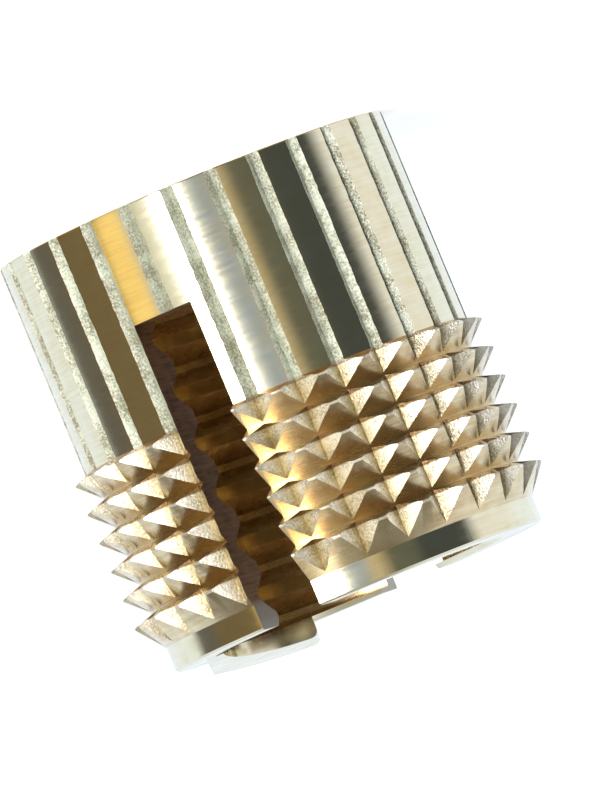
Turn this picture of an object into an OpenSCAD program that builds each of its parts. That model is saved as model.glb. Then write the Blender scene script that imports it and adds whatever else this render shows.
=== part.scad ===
// Press-in threaded insert, turned in one piece: a ribbed barrel, rows of barbs, a plain
// pilot, and one saw cut that splits the pilot end into two springy legs.
// It stands on its ribbed end. The axis is Z, and the saw cut lies in the YZ plane.

/* [Thread] */
// Major diameter of the thread
thread_d = 8; // [6:0.1:12]
// Pitch of the thread
thread_pitch = 1.25; // [0.75:0.25:1.75]

/* [Body] */
// Overall length, from the ribbed end to the pilot end
length = 10.1; // [8.4:0.1:16]
// Wall between the drilled bore and the ribs
wall = 1.375; // [1.1:0.025:2.5]
// Length of the plain pilot beyond the last barb
pilot_l = 0.6; // [0.3:0.05:1.5]
// How far the pilot lies below the ribs
pilot_step = 0.2; // [0.1:0.01:0.35]
// Broken edge around the outside of both ends
edge_break = 0.05; // [0.02:0.01:0.1]
// Countersink of the bore at the pilot end
pilot_csk = 0.2; // [0.05:0.05:0.4]

/* [Barbs] */
// Number of barb rows
barb_rows = 6; // [2:1:7]
// Distance from one barb to the next
barb_pitch = 0.71; // [0.5:0.01:0.85]
// How far the barb tips stand out beyond the ribs
barb_h = 0.3; // [0.1:0.01:0.5]
// How far each barb's shoulder leans towards the pilot end
barb_lean = 0.16; // [0:0.01:0.2]
// Width of the flat on each barb tip
barb_flat = 0.04; // [0.02:0.01:0.1]

/* [Grooves] */
// Number of lengthwise grooves
groove_count = 28; // [18:1:32]
// Depth of the grooves below the ribs
groove_depth = 0.15; // [0.05:0.01:0.4]
// Angle between the two walls of a groove
groove_angle = 96; // [60:1:110]
// Turn of the groove pattern from the saw cut
groove_turn = -1.9; // [-6:0.1:6]

/* [Saw cut] */
// Width of the saw cut
cut_w = 1.5; // [0.5:0.1:2.5]
// Length of the saw cut, from the pilot end
cut_l = 7.5; // [3:0.1:9]

/* [Lip] */
// Width of the lip left standing on the pilot rim
lip_w = 2.6; // [1:0.1:3]
// Distance from the axis to the square end of the lip
lip_in = 1.2; // [1:0.1:2]
// Turn of the lip from the saw cut
lip_turn = 20.8; // [10:0.1:30]
// Slope of the lip's end face
lip_slope = 6.5; // [3:0.5:12]

/* [Hidden] */
$fn = 180;
bore_r = (thread_d - thread_pitch) / 2;
mouth_csk = thread_pitch / 2;
rib_r = bore_r + wall;
tip_r = rib_r + barb_h;
pilot_r = rib_r - pilot_step;
barb_z = length - pilot_l - barb_rows * barb_pitch;
clear = 1;

// One barb in section: a narrow tip and a cone down towards the pilot's radius, where the
// leaning shoulder of the next barb rises.
function barb_outline(row) = let (
    z = barb_z + row * barb_pitch,
    lean = row < barb_rows - 1 ? barb_lean : 0
) [
    [tip_r, z],
    [tip_r, z + barb_flat],
    [pilot_r, z + barb_pitch - lean]
];

// The turned section, from the mouth of the bore around the outside and back down the bore.
function turned_outline() = concat(
    [
        [bore_r + mouth_csk, 0],
        [rib_r - edge_break, 0],
        [rib_r, edge_break],
        [rib_r, barb_z - barb_lean * barb_h / (barb_h + pilot_step)]
    ],
    [for (row = [0:barb_rows - 1]) each barb_outline(row)],
    [
        [pilot_r, length - edge_break],
        [pilot_r - edge_break, length],
        [bore_r + pilot_csk, length],
        [bore_r, length - pilot_csk],
        [bore_r, mouth_csk]
    ]
);

module turned_blank() {
    rotate_extrude() polygon(turned_outline());
}

// A V-shaped groove along the barrel, opening away from the axis along +X.
module groove() {
    groove_r = rib_r - groove_depth;
    reach = tip_r + edge_break - groove_r;
    half_w = reach * tan(groove_angle / 2);
    translate([groove_r, 0, -clear])
        linear_extrude(length + 2 * clear)
            polygon([[0, 0], [reach, -half_w], [reach, half_w]]);
}

// The knurled grooves, counted round from the saw cut on the -Y side.
module grooves() {
    for (i = [0:groove_count - 1])
        rotate(groove_turn - 90 + i * 360 / groove_count) groove();
}

// One straight cut across both walls, from the pilot end.
module saw_cut() {
    translate([-cut_w / 2, -tip_r - clear, length - cut_l])
        cube([cut_w, 2 * (tip_r + clear), cut_l + clear]);
}

// A crescent of the pilot's wall that stands past the end face, with a sloping end.
module lip() {
    root = pilot_csk + edge_break;
    rotate(-lip_turn)
        intersection() {
            translate([0, 0, length - root])
                difference() {
                    cylinder(r = pilot_r, h = root + pilot_r);
                    translate([0, 0, -clear]) cylinder(r = bore_r, h = root + pilot_r + 2 * clear);
                }
            translate([lip_in, 0, length - root]) cube([lip_w, tip_r, root + pilot_r]);
            translate([0, 0, length])
                rotate([lip_slope, 0, 0])
                    translate([-tip_r, -tip_r, -tip_r]) cube([2 * tip_r, 3 * tip_r, tip_r]);
        }
}

module insert_body() {
    color("#d9c388")
        union() {
            difference() {
                turned_blank();
                grooves();
                saw_cut();
            }
            lip();
        }
}

insert_body();
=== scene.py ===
import math

import bpy
from mathutils import Matrix, Vector


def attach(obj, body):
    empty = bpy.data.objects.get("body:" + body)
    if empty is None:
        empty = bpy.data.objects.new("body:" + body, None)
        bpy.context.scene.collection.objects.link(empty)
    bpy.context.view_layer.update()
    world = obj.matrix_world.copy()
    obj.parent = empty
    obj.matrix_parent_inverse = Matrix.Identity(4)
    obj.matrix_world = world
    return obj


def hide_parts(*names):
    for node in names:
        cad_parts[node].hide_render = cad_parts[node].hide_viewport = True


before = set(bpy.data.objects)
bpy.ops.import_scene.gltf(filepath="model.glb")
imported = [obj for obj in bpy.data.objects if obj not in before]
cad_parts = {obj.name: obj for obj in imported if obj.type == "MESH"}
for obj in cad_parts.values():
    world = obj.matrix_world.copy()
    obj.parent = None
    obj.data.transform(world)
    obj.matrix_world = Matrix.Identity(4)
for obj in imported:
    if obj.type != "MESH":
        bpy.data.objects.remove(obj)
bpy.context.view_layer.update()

mm = 0.001


def addNode(tree, kind, inputs=None, **settings):
    node = tree.nodes.new(kind)
    for key, value in settings.items():
        setattr(node, key, value)
    for key, value in (inputs or {}).items():
        if isinstance(value, bpy.types.Node):
            value = value.outputs[0]
        if isinstance(value, bpy.types.NodeSocket):
            tree.links.new(value, node.inputs[key])
        else:
            node.inputs[key].default_value = value
    return node


def linearColour(hexCode):
    parts = [int(hexCode[i:i + 2], 16) / 255 for i in (1, 3, 5)]
    return [c / 12.92 if c <= 0.04045 else ((c + 0.055) / 1.055) ** 2.4 for c in parts] + [1]


# It looks at the saw cut's side from a little above the pilot end, rolled so that the insert
# lies aslant.
cameraSettings = {
    "turn": -20.8,          # degrees round from the saw cut
    "distance": 338.8,      # mm from the axis
    "height": 22.1,         # mm
    "roll": 22.65,          # degrees
    "lens": 664.6,          # mm
    "sensor": 36,           # mm
    "middle": 5.05,         # mm up the axis, the middle of the insert
    "aim": (0.573, 0.138),  # mm right of and below the middle
    "clip": (0.01, 10),     # m
}


def makeCamera():
    s = cameraSettings
    turn, roll = math.radians(s["turn"]), math.radians(s["roll"])
    towards = Vector((math.sin(turn), -math.cos(turn), 0))
    across, up = Vector((towards.y, -towards.x, 0)), Vector((0, 0, 1))
    right = math.cos(roll) * across + math.sin(roll) * up
    down = math.cos(roll) * up - math.sin(roll) * across
    middle = Vector((0, 0, s["middle"]))
    target = (middle + s["aim"][0] * right + s["aim"][1] * down) * mm
    place = (towards * s["distance"] + up * s["height"]) * mm
    back = (place - target).normalized()
    side = (right - right.dot(back) * back).normalized()
    camera = bpy.data.objects.new("camera", bpy.data.cameras.new("camera"))
    camera.data.lens = s["lens"]
    camera.data.sensor_width = s["sensor"]
    camera.data.clip_start, camera.data.clip_end = s["clip"]
    axes = Matrix((side, back.cross(side), back)).transposed()
    camera.matrix_world = Matrix.Translation(place) @ axes.to_4x4()
    bpy.context.scene.collection.objects.link(camera)
    bpy.context.scene.camera = camera


makeCamera()
print("camera placed")


# mm and degrees, unless a comment says otherwise
insert = {
    "length": 10.1,
    "boreRadius": 3.375,
    "ribRadius": 4.75,
    "tipRadius": 5.05,
    "pilotRadius": 4.55,
    "pilotLength": 0.6,
    "barbRows": 6,
    "barbPitch": 0.71,
    "barbFlat": 0.04,       # the rounded crest stands at its middle
    "barbLean": 0.16,       # rise of each barb's shoulder
    "crestRound": 0.06,     # reach of the rounding on a barb's crest
    "crestSpare": 0.025,    # what the rounding takes off, added first so that it ends at tipRadius
    "crestWear": 0.04,      # how far down from the tip the knurl rolled each crest
    "rootRound": 0.015,     # between barbs
    "ribRound": 0.02,       # where the ribs meet the first shoulder
    "mouthSink": 0.625,     # countersink at the ribbed end
    "mouthRound": 0.03,     # its two edges
    "pilotSink": 0.2,
    "rimBreak": 0.05,
    "segments": 360,        # round the lathe
    "sharpAngle": 22,       # edges that turn more than this stay crisp
    "grooveCount": 28,
    "grooveDepth": 0.15,
    "grooveAngle": 96,
    "grooveTurn": -1.9,     # from the saw cut
    "grooveSteps": 130,     # cuts along each groove's bar, so that it can stray
    "grooveWander": 0.018,  # how far the knurl's edges stray
    "wanderStep": 0.16,     # distance from one stray to the next
    "cutWidth": 1.5,
    "cutLength": 7.5,
    "pitch": 1.25,
    "threadDepth": 0.54,    # share of the pitch
    "threadMouth": 0.75,    # width of the thread's groove at the bore, share of the pitch
    "threadPhase": 0.845,   # height of the thread's root on +X
    "threadStop": 0.12,     # how far short of the pilot end it stops
    "threadSteps": 120,     # to a turn
    "lipInner": 1.2,
    "lipWidth": 2.6,
    "lipTurn": -20.8,
    "lipSlope": 6.5,
    "lipRound": 0.22,       # at its square end
}
finishes = {"turned": 0, "knurled": 1, "sawn": 2, "tapped": 3, "faced": 4, "barbed": 5}


def firstBarb():
    # height of the lowest barb's crest
    return insert["length"] - insert["pilotLength"] - insert["barbRows"] * insert["barbPitch"]


def roundCorner(before, corner, after, size, steps=3):
    corner = Vector(corner)
    start = corner + (Vector(before) - corner).normalized() * size
    end = corner + (Vector(after) - corner).normalized() * size
    shares = [i / steps for i in range(steps + 1)]
    return [(1 - t) ** 2 * start + 2 * t * (1 - t) * corner + t * t * end for t in shares]


def outlineObject(name, corners):
    # corners are (radius, height, rounding) going up the outside and down the bore
    points = []
    for i, (r, z, rounding) in enumerate(corners):
        if rounding:
            ahead = corners[(i + 1) % len(corners)]
            points += roundCorner(corners[i - 1][:2], (r, z), ahead[:2], rounding)
        else:
            points.append(Vector((r, z)))
    mesh = bpy.data.meshes.new(name)
    # swept round a circle of 1 mm, so radii count from there
    mesh.from_pydata([((p.x - 1) * mm, -p.y * mm, 0) for p in reversed(points)],
                     [(i, (i + 1) % len(points)) for i in range(len(points))], [])
    return bpy.data.objects.new(name, mesh)


def blankOutline():
    s = insert
    z = firstBarb()
    spare = s["length"] + 1
    # the first shoulder comes down only to the ribs, so it leans less far
    height, fullHeight = s["tipRadius"] - s["ribRadius"], s["tipRadius"] - s["pilotRadius"]
    firstLean = s["barbLean"] * height / fullHeight
    crest = s["tipRadius"] + s["crestSpare"]
    corners = [
        (s["boreRadius"] + s["mouthSink"], 0, s["mouthRound"]),
        (s["ribRadius"], 0, s["rimBreak"]),
        (s["ribRadius"], z - firstLean, s["ribRound"]),
    ]
    for row in range(s["barbRows"]):
        corners.append((crest, z + s["barbFlat"] / 2, s["crestRound"]))
        z += s["barbPitch"]
        if row < s["barbRows"] - 1:
            corners.append((s["pilotRadius"], z - s["barbLean"], s["rootRound"]))
        else:
            corners.append((s["pilotRadius"], z, 0))
    corners += [
        (s["pilotRadius"], spare, 0),
        (s["boreRadius"], spare, 0),
        (s["boreRadius"], s["mouthSink"], s["mouthRound"]),
    ]
    return outlineObject("blankOutline", corners)


def facingOutline():
    # its underside is the face, with the countersink inside and the broken edge outside
    s = insert
    top, edge = s["length"], s["rimBreak"]
    inward, outward, upward = 0.5, 1, 1.5  # mm past the metal
    return outlineObject("facingOutline", [
        (s["boreRadius"] - inward, top - s["pilotSink"] - inward, 0),
        (s["boreRadius"] + s["pilotSink"], top, 0),
        (s["pilotRadius"] - edge, top, 0),
        (s["pilotRadius"] + outward, top - outward - edge, 0),
        (s["pilotRadius"] + outward, top + upward, 0),
        (s["boreRadius"] - inward, top + upward, 0),
    ])


def threadOutline():
    # one turn's section: 60 degree flanks, narrow root, inner end clear of the bore wall
    s = insert
    root = s["boreRadius"] + s["threadDepth"] * s["pitch"]
    clear = s["boreRadius"] - 0.075
    inner = clear - 0.1
    mouth, flank = s["threadMouth"] / 2 * s["pitch"], math.tan(math.radians(30))
    wide, narrow = [mouth - (r - s["boreRadius"]) * flank for r in (clear, root)]
    section = [(inner, -wide), (clear, -wide), (root, -narrow),
               (root, narrow), (clear, wide), (inner, wide)]
    mesh = bpy.data.meshes.new("threadOutline")
    mesh.from_pydata([((r - 1) * mm, z * mm, 0) for r, z in section],
                     [(i, (i + 1) % len(section)) for i in range(len(section))], [])
    return bpy.data.objects.new("threadOutline", mesh)


def lipKeeper():
    # what the facing tool leaves standing: a bar with one rounded corner, before it is turned
    # and tilted
    s = insert
    near, far = s["lipInner"], s["lipInner"] + s["lipWidth"]
    deep, along = 4, 6  # mm, enough to pass the wall
    outline = roundCorner((near, -deep), (near, 0), (far, 0), s["lipRound"], steps=6)
    outline += [Vector((far, 0)), Vector((far, -deep)), Vector((near, -deep))]
    outline.reverse()
    count = len(outline)
    caps = [tuple(range(count)), tuple(reversed(range(count, 2 * count)))]
    sides = [(i, i + count, (i + 1) % count + count, (i + 1) % count) for i in range(count)]
    mesh = bpy.data.meshes.new("lipKeeper")
    mesh.from_pydata([(p.x * mm, y * mm, p.y * mm) for y in (0, along) for p in outline], [],
                     caps + sides)
    return bpy.data.objects.new("lipKeeper", mesh)


def lathe(tree, outline, segments):
    ring = addNode(tree, "GeometryNodeCurvePrimitiveCircle",
                   {"Resolution": segments, "Radius": mm})
    section = addNode(tree, "GeometryNodeMeshToCurve", {"Mesh": outline})
    return addNode(tree, "GeometryNodeCurveToMesh", {"Curve": ring, "Profile Curve": section})


def insertTree(materials):
    s = insert
    top, clear = s["length"], 1.0  # clear: mm that a cutter runs past the metal
    tree = bpy.data.node_groups.new("insertTree", "GeometryNodeTree")
    tree.interface.new_socket("Geometry", in_out="OUTPUT", socket_type="NodeSocketGeometry")
    tree.interface.new_socket("Geometry", in_out="INPUT", socket_type="NodeSocketGeometry")
    values = {}
    reach = 0.5  # mm past the groove's root, short of the next groove's cutter
    barRadius = reach / 1.5  # a three-sided bar is 1.5 times its radius high
    spread = math.tan(math.radians(s["grooveAngle"] / 2)) / math.tan(math.radians(30))
    barPlace = s["ribRadius"] - s["grooveDepth"] + barRadius
    cutHeight = s["cutLength"] + 3 * clear
    turnsBelow = 2  # of the helix, under the ribbed end
    turns = math.ceil(top / s["pitch"]) + turnsBelow + 1
    stopWidth, stopHeight = 20, 6  # mm, enough to cover what the helix has to spare
    for name, kind, value in [
        ("Facing Outline", "Object", facingOutline()),
        ("Thread Outline", "Object", threadOutline()),
        ("Lathe Segments", "Int", s["segments"]),
        ("Barbs Start", "Float", (firstBarb() - s["barbLean"]) * mm),
        ("Barbs End", "Float", (top - s["pilotLength"]) * mm),
        ("Barbs Inside", "Float", (s["boreRadius"] + 0.8) * mm),  # well inside the wall
        ("Crests Inside", "Float", (s["tipRadius"] - s["crestWear"]) * mm),
        ("Groove Count", "Int", s["grooveCount"]),
        ("Groove Step", "Float", 2 * math.pi / s["grooveCount"]),
        ("Groove Start", "Float", math.radians(s["grooveTurn"] - 90)),
        ("Groove Cutter", "Float", barRadius * mm),
        ("Groove Length", "Float", (top + 2 * clear) * mm),
        ("Groove Steps", "Int", s["grooveSteps"]),
        ("Groove Wander", "Float", s["grooveWander"] * mm),
        ("Wander Scale", "Float", 1 / (s["wanderStep"] * mm)),
        ("Groove Spread", "Vector", (1, spread, 1)),
        ("Groove Place", "Vector", (barPlace * mm, 0, top / 2 * mm)),
        ("Saw Size", "Vector", (s["cutWidth"] * mm, 3 * s["tipRadius"] * mm, cutHeight * mm)),
        ("Saw Place", "Vector", (0, 0, (top - s["cutLength"] + cutHeight / 2) * mm)),
        ("Thread Steps", "Int", s["threadSteps"]),
        ("Thread Turns", "Float", turns),
        ("Thread Height", "Float", turns * s["pitch"] * mm),
        ("Thread Place", "Vector", (0, 0, (s["threadPhase"] - turnsBelow * s["pitch"]) * mm)),
        ("Stop Size", "Vector", (stopWidth * mm, stopWidth * mm, stopHeight * mm)),
        ("Stop Place", "Vector", (0, 0, (top - s["threadStop"] + stopHeight / 2) * mm)),
        ("Lip Keeper", "Object", lipKeeper()),
        ("Lip Turn", "Vector", (math.radians(s["lipSlope"]), 0, math.radians(s["lipTurn"]))),
        ("Lip Height", "Vector", (0, 0, top * mm)),
    ]:
        socket = tree.interface.new_socket(name, in_out="INPUT", socket_type="NodeSocket" + kind)
        values[socket.identifier] = value
    given = tree.nodes.new("NodeGroupInput").outputs

    # turned blank: barbed between the ribs and the pilot, with crests that the knurl rolled too
    blank = lathe(tree, given["Geometry"], given["Lathe Segments"])
    place = addNode(tree, "GeometryNodeInputPosition")
    height = addNode(tree, "ShaderNodeSeparateXYZ", {0: place}).outputs["Z"]
    below = addNode(tree, "FunctionNodeCompare", {0: height, 1: given["Barbs End"]},
                    operation="LESS_THAN")
    above = addNode(tree, "FunctionNodeCompare", {0: height, 1: given["Barbs Start"]},
                    operation="GREATER_THAN")
    out = addNode(tree, "ShaderNodeVectorMath", {0: place, 1: (1, 1, 0)}, operation="MULTIPLY")
    out = addNode(tree, "ShaderNodeVectorMath", {0: out}, operation="LENGTH").outputs["Value"]
    outer = addNode(tree, "FunctionNodeCompare", {0: out, 1: given["Barbs Inside"]},
                    operation="GREATER_THAN")
    barbs = addNode(tree, "FunctionNodeBooleanMath", {0: below, 1: above})
    barbs = addNode(tree, "FunctionNodeBooleanMath", {0: barbs, 1: outer})
    crests = addNode(tree, "FunctionNodeCompare", {0: out, 1: given["Crests Inside"]},
                     operation="GREATER_THAN")
    for finish, where in {"turned": True, "barbed": barbs, "knurled": crests}.items():
        blank = addNode(tree, "GeometryNodeStoreNamedAttribute",
                        {"Geometry": blank, "Name": "finish", "Value": finishes[finish],
                         "Selection": where}, data_type="INT", domain="FACE")

    # V-grooves: three-sided bars, one for each groove, turned about the axis
    bar = addNode(tree, "GeometryNodeMeshCylinder",
                  {"Vertices": 3, "Radius": given["Groove Cutter"],
                   "Depth": given["Groove Length"], "Side Segments": given["Groove Steps"]})
    bar = addNode(tree, "GeometryNodeTransform",
                  {"Geometry": bar, "Rotation": (0, 0, math.pi), "Scale": given["Groove Spread"],
                   "Translation": given["Groove Place"]})
    spots = addNode(tree, "GeometryNodePoints", {"Count": given["Groove Count"]})
    order = addNode(tree, "GeometryNodeInputIndex")
    angle = addNode(tree, "ShaderNodeMath",
                    {0: order, 1: given["Groove Step"], 2: given["Groove Start"]},
                    operation="MULTIPLY_ADD")
    turn = addNode(tree, "ShaderNodeCombineXYZ", {"Z": angle})
    bars = addNode(tree, "GeometryNodeInstanceOnPoints",
                   {"Points": spots, "Instance": bar, "Rotation": turn})
    bars = addNode(tree, "GeometryNodeRealizeInstances", {"Geometry": bars})
    # no knurl presses a straight edge, so the bars stray a little, though not up or down; the
    # noise keeps near its middle, so three times as much of it fills the range
    noise = addNode(tree, "ShaderNodeTexNoise", {"Scale": given["Wander Scale"], "Detail": 2.0})
    stray = addNode(tree, "ShaderNodeVectorMath",
                    {0: noise.outputs["Color"], 1: (0.5, 0.5, 0.5)}, operation="SUBTRACT")
    stray = addNode(tree, "ShaderNodeVectorMath", {0: stray, "Scale": given["Groove Wander"]},
                    operation="SCALE")
    stray = addNode(tree, "ShaderNodeVectorMath", {0: stray, 1: (3, 3, 0)}, operation="MULTIPLY")
    grooves = addNode(tree, "GeometryNodeSetPosition", {"Geometry": bars, "Offset": stray})

    # saw cut
    blade = addNode(tree, "GeometryNodeMeshCube", {"Size": given["Saw Size"]})
    sawCut = addNode(tree, "GeometryNodeTransform",
                     {"Geometry": blade, "Translation": given["Saw Place"]})

    # thread: the section swept up a helix, stopped short of the pilot end
    helix = addNode(tree, "GeometryNodeCurveSpiral",
                    {"Resolution": given["Thread Steps"], "Rotations": given["Thread Turns"],
                     "Start Radius": mm, "End Radius": mm, "Height": given["Thread Height"],
                     "Reverse": True})
    helix = addNode(tree, "GeometryNodeSetCurveNormal", {"Curve": helix}, mode="Z_UP")
    section = addNode(tree, "GeometryNodeObjectInfo", {"Object": given["Thread Outline"]})
    section = addNode(tree, "GeometryNodeMeshToCurve", {"Mesh": section.outputs["Geometry"]})
    ridge = addNode(tree, "GeometryNodeCurveToMesh",
                    {"Curve": helix, "Profile Curve": section, "Fill Caps": True})
    ridge = addNode(tree, "GeometryNodeTransform",
                    {"Geometry": ridge, "Translation": given["Thread Place"]})
    stop = addNode(tree, "GeometryNodeMeshCube", {"Size": given["Stop Size"]})
    stop = addNode(tree, "GeometryNodeTransform",
                   {"Geometry": stop, "Translation": given["Stop Place"]})
    thread = addNode(tree, "GeometryNodeMeshBoolean", {"Mesh 1": ridge, "Mesh 2": stop},
                     operation="DIFFERENCE", solver="EXACT")

    # facing cut over the pilot end, held off the lip
    ring = addNode(tree, "GeometryNodeObjectInfo", {"Object": given["Facing Outline"]})
    ring = lathe(tree, ring.outputs["Geometry"], given["Lathe Segments"])
    keep = addNode(tree, "GeometryNodeObjectInfo", {"Object": given["Lip Keeper"]})
    keep = addNode(tree, "GeometryNodeTransform",
                   {"Geometry": keep.outputs["Geometry"], "Rotation": given["Lip Turn"],
                    "Translation": given["Lip Height"]})
    facing = addNode(tree, "GeometryNodeMeshBoolean", {"Mesh 1": ring, "Mesh 2": keep},
                     operation="DIFFERENCE", solver="EXACT")

    cut = addNode(tree, "GeometryNodeMeshBoolean", {"Mesh 1": blank},
                  operation="DIFFERENCE", solver="EXACT")
    cutters = {"knurled": grooves, "sawn": sawCut, "tapped": thread, "faced": facing}
    for finish, cutter in cutters.items():
        cutter = addNode(tree, "GeometryNodeStoreNamedAttribute",
                         {"Geometry": cutter, "Name": "finish", "Value": finishes[finish]},
                         data_type="INT", domain="FACE")
        tree.links.new(cutter.outputs[0], cut.inputs["Mesh 2"])

    last = addNode(tree, "GeometryNodeRealizeInstances", {"Geometry": cut})
    named = addNode(tree, "GeometryNodeInputNamedAttribute", {"Name": "finish"}, data_type="INT")
    for finish, material in materials.items():
        chosen = addNode(tree, "FunctionNodeCompare", {2: named, 3: finishes[finish]},
                         data_type="INT", operation="EQUAL")
        last = addNode(tree, "GeometryNodeSetMaterial",
                       {"Geometry": last, "Selection": chosen, "Material": material})
    addNode(tree, "NodeGroupOutput", {0: last})
    return tree, values


def makeInsert(materials):
    source = blankOutline()
    bpy.context.scene.collection.objects.link(source)
    tree, values = insertTree(materials)
    grown = source.modifiers.new("insertTree", "NODES")
    grown.node_group = tree
    for identifier, value in values.items():
        grown[identifier] = value
    source.update_tag()
    result = source.evaluated_get(bpy.context.evaluated_depsgraph_get())
    mesh = bpy.data.meshes.new_from_object(result)
    source.modifiers.remove(grown)
    bpy.data.objects.remove(source)
    mesh.name = "threadedInsert"
    mesh.shade_smooth()
    mesh.set_sharp_from_angle(angle=math.radians(insert["sharpAngle"]))
    piece = bpy.data.objects.new("threadedInsert", mesh)
    bpy.context.scene.collection.objects.link(piece)
    return piece


# Free-cutting brass straight from the tools, unplated. Turned and faced, it is a pale yellow
# mirror with fine rings; the barbs' cones are a little rougher; the knurl left its grooves silvery
# and grainy, with painted shade towards their roots and a painted shadow under each shoulder; the
# saw's and the tap's cuts are painted browner, a painted shade for the light that bounces about
# inside them, and painted light makes the sawn faces paler at the pilot end.
brass = {
    "turned": {"tones": ("#EEE5C7", "#E6D8B2"), "roughness": (0.1, 0.17), "marks": "lathe"},
    "barbed": {"tones": ("#E8D6AE", "#CEB488"), "roughness": (0.2, 0.3), "marks": "lathe"},
    "knurled": {"tones": ("#FFFEF6", "#CDC8B6"), "roughness": (0.36, 0.64), "marks": "knurl"},
    # the saw's and the tap's tones are browner: painted shade inside the cuts
    "sawn": {"tones": ("#A98150", "#6E4A24"), "roughness": (0.34, 0.46), "marks": "saw"},
    "tapped": {"tones": ("#E6D2AA", "#B99C6C"), "roughness": (0.22, 0.34), "marks": "tap"},
    "faced": {"tones": ("#EEE5C7", "#E2D6B4"), "roughness": (0.16, 0.26), "marks": "lathe"},
    # length of a tool's marks round the axis and along it and their depth, mm, then how strongly
    # they tilt the surface
    "lathe": (1.6, 0.09, 0.0006, 0.35),
    "knurl": (0.05, 0.05, 0.018, 1.0),  # about twice as coarse as it is, so that it shows
    "saw": (1.2, 0.06, 0.004, 0.6),
    "tap": (0.7, 0.35, 0.01, 0.5),
    "patch": 0.5,            # mm across the patches where the tone shifts
    "contrast": (0.12, 0.42),       # patches times marks, from all first tone to all second
    "knurlContrast": (0.18, 0.34),
    "noise": (0.3, 0.7),     # span of the marks' noise, from least to most rough
    "crushed": 0.32,         # how much rougher the grooves are along the ribs than among the barbs
    "pilotEndLight": "#AAA291",      # painted light: the sawn faces are paler at the pilot end
    "pilotEndLightDepth": (0.75, 0.6),      # mm from the pilot end where that starts and is whole
    "roots": ("#C8D0CA", "#BDAF8C"),  # painted shade, darker than the tips: along the ribs, among the barbs
    "rootsBelow": 0.15,      # mm below the first barb where the one turns into the other
    "brightBelow": 0.15,     # mm in from the tips where the painted shade in the grooves ends
    "shoulderShadow": "#8A7152",        # painted shadow under each barb's shoulder
    "shoulderShadowBand": (0.7, 0.8, 0.94, 0.98),  # shares of a barb where it starts, is whole, thins, ends
    "drag": 0.85,            # how far the lathe's lines on the barbs stretch a highlight
}


def ringPattern(tree, place, around, along):
    # noise that is longer around the axis than along it, sizes in mm
    scale = (1 / (around * mm), 1 / (around * mm), 1 / (along * mm))
    way = addNode(tree, "ShaderNodeVectorMath", {0: place, 1: scale}, operation="MULTIPLY")
    return addNode(tree, "ShaderNodeTexNoise",
                   {"Vector": way, "Scale": 1.0, "Detail": 2.0, "Roughness": 0.6})


def paintPilotEndLight(tree, tone, height):
    # painted light: the cut faces are painted paler at the pilot end
    top = insert["length"]
    start, whole = [(top - depth) * mm for depth in brass["pilotEndLightDepth"]]
    share = addNode(tree, "ShaderNodeMapRange",
                    {"Value": height, "From Min": start, "From Max": whole})
    return addNode(tree, "ShaderNodeMix", {0: share, 6: tone, 7: linearColour(brass["pilotEndLight"])},
                   data_type="RGBA").outputs[2]


def shadeGrooves(tree, tone, place, height, among):
    # painted shade: darker towards the groove roots, and a painted shadow under the shoulders
    s = insert
    white = (1, 1, 1, 1)
    out = addNode(tree, "ShaderNodeVectorMath", {0: place, 1: (1, 1, 0)}, operation="MULTIPLY")
    out = addNode(tree, "ShaderNodeVectorMath", {0: out}, operation="LENGTH").outputs["Value"]
    # painted shade: the grooves darken from the tips to their roots
    grooveShade = addNode(tree, "ShaderNodeMapRange",
                   {"Value": out, "From Min": (s["ribRadius"] - s["grooveDepth"]) * mm,
                    "From Max": (s["tipRadius"] - brass["brightBelow"]) * mm})
    ribRoot, barbRoot = [linearColour(code) for code in brass["roots"]]
    root = addNode(tree, "ShaderNodeMix", {0: among, 6: ribRoot, 7: barbRoot}, data_type="RGBA")
    grooveShade = addNode(tree, "ShaderNodeMix", {0: grooveShade, 6: root.outputs[2], 7: white},
                   data_type="RGBA")
    row = addNode(tree, "ShaderNodeMath", {0: height, 1: firstBarb() * mm}, operation="SUBTRACT")
    row = addNode(tree, "ShaderNodeMath", {0: row, 1: s["barbPitch"] * mm}, operation="DIVIDE")
    phase = addNode(tree, "ShaderNodeMath", {0: row}, operation="FRACT")
    starts, whole, thins, ends = brass["shoulderShadowBand"]
    above = addNode(tree, "ShaderNodeMapRange",
                    {"Value": phase, "From Min": starts, "From Max": whole})
    below = addNode(tree, "ShaderNodeMapRange",
                    {"Value": phase, "From Min": ends, "From Max": thins})
    # the last row has no shoulder above it
    shouldered = addNode(tree, "ShaderNodeMath", {0: row, 1: s["barbRows"] - 1},
                         operation="LESS_THAN")
    # painted shadow under each barb's shoulder
    shoulderShadow = above
    for share in (below, shouldered, among):
        shoulderShadow = addNode(tree, "ShaderNodeMath", {0: shoulderShadow, 1: share}, operation="MULTIPLY")
    grooveShade = addNode(tree, "ShaderNodeMix",
                   {0: shoulderShadow, 6: grooveShade.outputs[2], 7: linearColour(brass["shoulderShadow"])}, data_type="RGBA")
    return addNode(tree, "ShaderNodeMix", {0: 1.0, 6: tone, 7: grooveShade.outputs[2]},
                   data_type="RGBA", blend_type="MULTIPLY").outputs[2]


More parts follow.
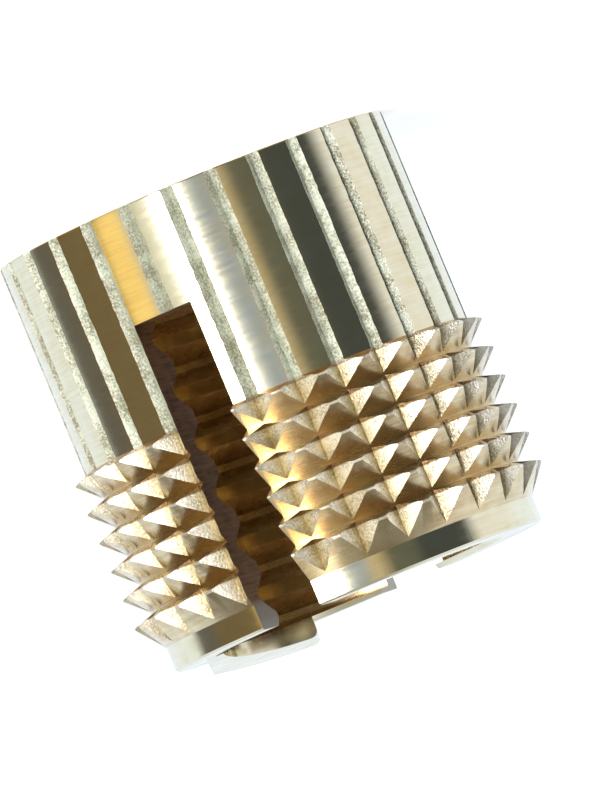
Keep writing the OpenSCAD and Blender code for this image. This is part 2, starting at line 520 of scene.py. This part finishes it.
def brassMaterial(finish):
    s = brass[finish]
    around, along, depth, strength = brass[s["marks"]]
    material = bpy.data.materials.new(finish + "Brass")
    material.use_nodes = True
    tree = material.node_tree
    tree.nodes.clear()
    place = addNode(tree, "ShaderNodeTexCoord").outputs["Object"]
    height = addNode(tree, "ShaderNodeSeparateXYZ", {0: place}).outputs["Z"]
    marks = ringPattern(tree, place, around, along).outputs["Fac"]
    patches = addNode(tree, "ShaderNodeTexNoise",
                      {"Vector": place, "Scale": 1 / (brass["patch"] * mm), "Detail": 3.0})
    blend = addNode(tree, "ShaderNodeMath", {0: patches.outputs["Fac"], 1: marks},
                    operation="MULTIPLY")
    low, high = brass["knurlContrast" if finish == "knurled" else "contrast"]
    blend = addNode(tree, "ShaderNodeMapRange",
                    {"Value": blend, "From Min": low, "From Max": high})
    first, second = [linearColour(code) for code in s["tones"]]
    tone = addNode(tree, "ShaderNodeMix", {0: blend, 6: first, 7: second}, data_type="RGBA")
    tone = tone.outputs[2]
    dull = addNode(tree, "ShaderNodeMapRange",
                   {"Value": marks, "From Min": brass["noise"][0], "From Max": brass["noise"][1],
                    "To Min": s["roughness"][0], "To Max": s["roughness"][1]})
    if finish == "sawn":
        # painted light: paler sawn faces at the pilot end
        tone = paintPilotEndLight(tree, tone, height)
    if finish == "knurled":
        start = firstBarb() * mm
        among = addNode(tree, "ShaderNodeMapRange",
                        {"Value": height, "From Min": start - brass["rootsBelow"] * mm,
                         "From Max": start})
        # painted shade in the grooves and a painted shadow under the shoulders
        tone = shadeGrooves(tree, tone, place, height, among)
        ribs = addNode(tree, "ShaderNodeMath", {0: 1.0, 1: among}, operation="SUBTRACT")
        dull = addNode(tree, "ShaderNodeMath", {0: ribs, 1: brass["crushed"], 2: dull},
                       operation="MULTIPLY_ADD")
    bump = addNode(tree, "ShaderNodeBump",
                   {"Strength": strength, "Distance": depth * mm, "Height": marks})
    shader = addNode(tree, "ShaderNodeBsdfPrincipled",
                     {"Base Color": tone, "Metallic": 1.0, "Roughness": dull, "Normal": bump})
    if finish == "barbed":
        # the lathe's lines run round the axis, so a highlight stretches across them
        way = addNode(tree, "ShaderNodeVectorMath", {0: (0, 0, 1), 1: place},
                      operation="CROSS_PRODUCT")
        way = addNode(tree, "ShaderNodeVectorMath", {0: way}, operation="NORMALIZE")
        tree.links.new(way.outputs[0], shader.inputs["Tangent"])
        shader.inputs["Anisotropic"].default_value = brass["drag"]
        shader.inputs["Anisotropic Rotation"].default_value = 0.25
    addNode(tree, "ShaderNodeOutputMaterial", {"Surface": shader})
    return material


def brassMaterials():
    return {finish: brassMaterial(finish) for finish in finishes}


body = makeInsert(brassMaterials())
print("insert made,", len(body.data.polygons), "faces")
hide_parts("insert_body")
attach(body, "root")


# A pale board in a small studio. The brass is a curved mirror, so what stands round it is what it
# shows: white sweeps behind, a tall window just left of the camera, and cards in between.
studio = {
    "floorTone": "#F2F1EE",
    "floorReach": 2.0,    # m from the middle to each edge
    "floorGlow": 0.45,    # share of white added for camera, mirror and glass rays
    "cards": [            # degrees to the right of the camera from, to, tone, brightness
        (-180, -118, "#E4F0FF", 1.2),    # white sweep
        (-110, -98, "#696866", 1.0),     # grey
        (-92, -63, "#786B52", 1.0),      # olive
        (-57, -46, "#FFE193", 1.18),     # gold
        (-42, -36, "#CFD2C8", 1.0),      # cream
        (-30, -23, "#EDF3F2", 1.0),      # blind
        (-21.5, -9.5, "#FFFFFF", 15.0),  # window
        (-6.5, -5, "#E4E4FF", 1.1),      # window frame
        (-2, -1, "#B4C6DC", 1.0),        # pale blue
        (3, 8, "#9FB0C6", 1.0),          # blue grey
        (14, 17.5, "#D2C4A2", 1.0),      # straw
        (25.5, 40, "#666A61", 1.0),      # moss
        (46, 76, "#484F51", 1.0),        # charcoal
        (86, 115, "#EAEFF8", 1.14),      # white sweep
        (125, 180, "#E4F0FF", 1.22),     # white sweep
    ],
    # degrees above the horizon where each of these starts to show over the cards and is whole
    "bands": {"sky": (14, 45), "ceiling": (70, 84), "bench": (-12, -40), "shade": (-72, -80)},
    "sky": "#8C8C85",
    "skyShare": 0.8,
    "skySide": (-0.1, 0.3),  # only on the camera's side: cosine of the turn away from the camera
    "ceiling": "#B4B4AE",
    "bench": "#B09A80",
    "benchShare": 0.5,       # the rest is the cards, mirrored in it
    "benchTint": (0.86, 0.69, 0.51),
    "shade": "#4A3A28",
}


def makeFloor():
    mesh = bpy.data.meshes.new("floor")
    r = studio["floorReach"]
    mesh.from_pydata([(-r, -r, 0), (r, -r, 0), (r, r, 0), (-r, r, 0)], [], [(0, 1, 2, 3)])
    floor = bpy.data.objects.new("floor", mesh)
    bpy.context.scene.collection.objects.link(floor)
    # matt paint on board: an even pale ground that mirrors nothing
    material = bpy.data.materials.new("paintedBoard")
    material.use_nodes = True
    tree = material.node_tree
    tree.nodes.clear()
    paint = addNode(tree, "ShaderNodeBsdfDiffuse", {"Color": linearColour(studio["floorTone"])})
    rays = addNode(tree, "ShaderNodeLightPath").outputs
    seen = addNode(tree, "ShaderNodeMath",
                   {0: rays["Is Camera Ray"], 1: rays["Is Glossy Ray"]}, operation="MAXIMUM")
    seen = addNode(tree, "ShaderNodeMath", {0: seen, 1: rays["Is Transmission Ray"]},
                   operation="MAXIMUM")
    glow = addNode(tree, "ShaderNodeMath", {0: seen, 1: studio["floorGlow"]},
                   operation="MULTIPLY")
    white = addNode(tree, "ShaderNodeEmission", {"Color": (1, 1, 1, 1), "Strength": glow})
    both = addNode(tree, "ShaderNodeAddShader", {0: paint, 1: white})
    addNode(tree, "ShaderNodeOutputMaterial", {"Surface": both})
    mesh.materials.append(material)
    # or the board would hide the cards in the upright walls and keep their light off them
    floor.visible_glossy = False
    floor.visible_shadow = False


def makeWorld():
    s = studio
    world = bpy.data.worlds.new("studio")
    bpy.context.scene.world = world
    world.use_nodes = True
    tree = world.node_tree
    tree.nodes.clear()
    ray = addNode(tree, "ShaderNodeTexCoord").outputs["Generated"]
    way = addNode(tree, "ShaderNodeSeparateXYZ", {0: ray}).outputs
    turn = addNode(tree, "ShaderNodeMath", {0: way["Y"], 1: way["X"]}, operation="ARCTAN2")
    # to the right of the camera is clockwise from above
    front = math.radians(cameraSettings["turn"] - 90)
    right = addNode(tree, "ShaderNodeMath", {0: front, 1: turn}, operation="SUBTRACT")
    right = addNode(tree, "ShaderNodeMath", {0: right, 1: math.pi, 2: -math.pi},
                    operation="WRAP")
    share = addNode(tree, "ShaderNodeMapRange",
                    {"Value": right, "From Min": -math.pi, "From Max": math.pi})
    ramp = addNode(tree, "ShaderNodeValToRGB", {0: share})
    elements = ramp.color_ramp.elements
    stops = [(degrees, tone, level) for start, end, tone, level in s["cards"]
             for degrees in (start, end)]
    brightest = max(level for degrees, tone, level in stops)
    for i, (degrees, tone, level) in enumerate(stops):
        place = (degrees + 180) / 360
        if i == 0:
            stop = elements[0]
        elif i == len(stops) - 1:
            stop = elements[-1]
        else:
            stop = elements.new(place)
        stop.position = place
        # a ramp holds nothing above 1
        stop.color = [c * level / brightest for c in linearColour(tone)[:3]] + [1]
    cards = addNode(tree, "ShaderNodeVectorMath", {0: ramp, "Scale": brightest},
                    operation="SCALE")

    # high up, the cards pale into a grey sky and then the ceiling; low down, they warm towards the
    # bench, and straight below lies the insert's own shade
    shares = {}
    for name, heights in s["bands"].items():
        starts, whole = [math.sin(math.radians(degrees)) for degrees in heights]
        shares[name] = addNode(tree, "ShaderNodeMapRange",
                               {"Value": way["Z"], "From Min": starts, "From Max": whole},
                               interpolation_type="SMOOTHSTEP")
    near = addNode(tree, "ShaderNodeVectorMath",
                   {0: ray, 1: (math.cos(front), math.sin(front), 0)}, operation="DOT_PRODUCT")
    near = addNode(tree, "ShaderNodeMapRange",
                   {"Value": near.outputs["Value"], "From Min": s["skySide"][0],
                    "From Max": s["skySide"][1]}, interpolation_type="SMOOTHSTEP")
    for factor in (near, s["skyShare"]):
        shares["sky"] = addNode(tree, "ShaderNodeMath", {0: shares["sky"], 1: factor},
                                operation="MULTIPLY")
    bench = addNode(tree, "ShaderNodeMix",
                    {0: s["benchShare"], 6: cards, 7: linearColour(s["bench"])},
                    data_type="RGBA")
    bench = addNode(tree, "ShaderNodeVectorMath", {0: bench.outputs[2], 1: s["benchTint"]},
                    operation="MULTIPLY")
    light = cards
    for name, share in shares.items():
        tone = bench if name == "bench" else linearColour(s[name])
        light = addNode(tree, "ShaderNodeMix", {0: share, 6: light, 7: tone},
                        data_type="RGBA").outputs[2]
    back = addNode(tree, "ShaderNodeBackground", {"Color": light, "Strength": 1.0})
    addNode(tree, "ShaderNodeOutputWorld", {"Surface": back})


makeFloor()
makeWorld()
print("studio made")
bpy.context.scene.view_settings.view_transform = "Standard"
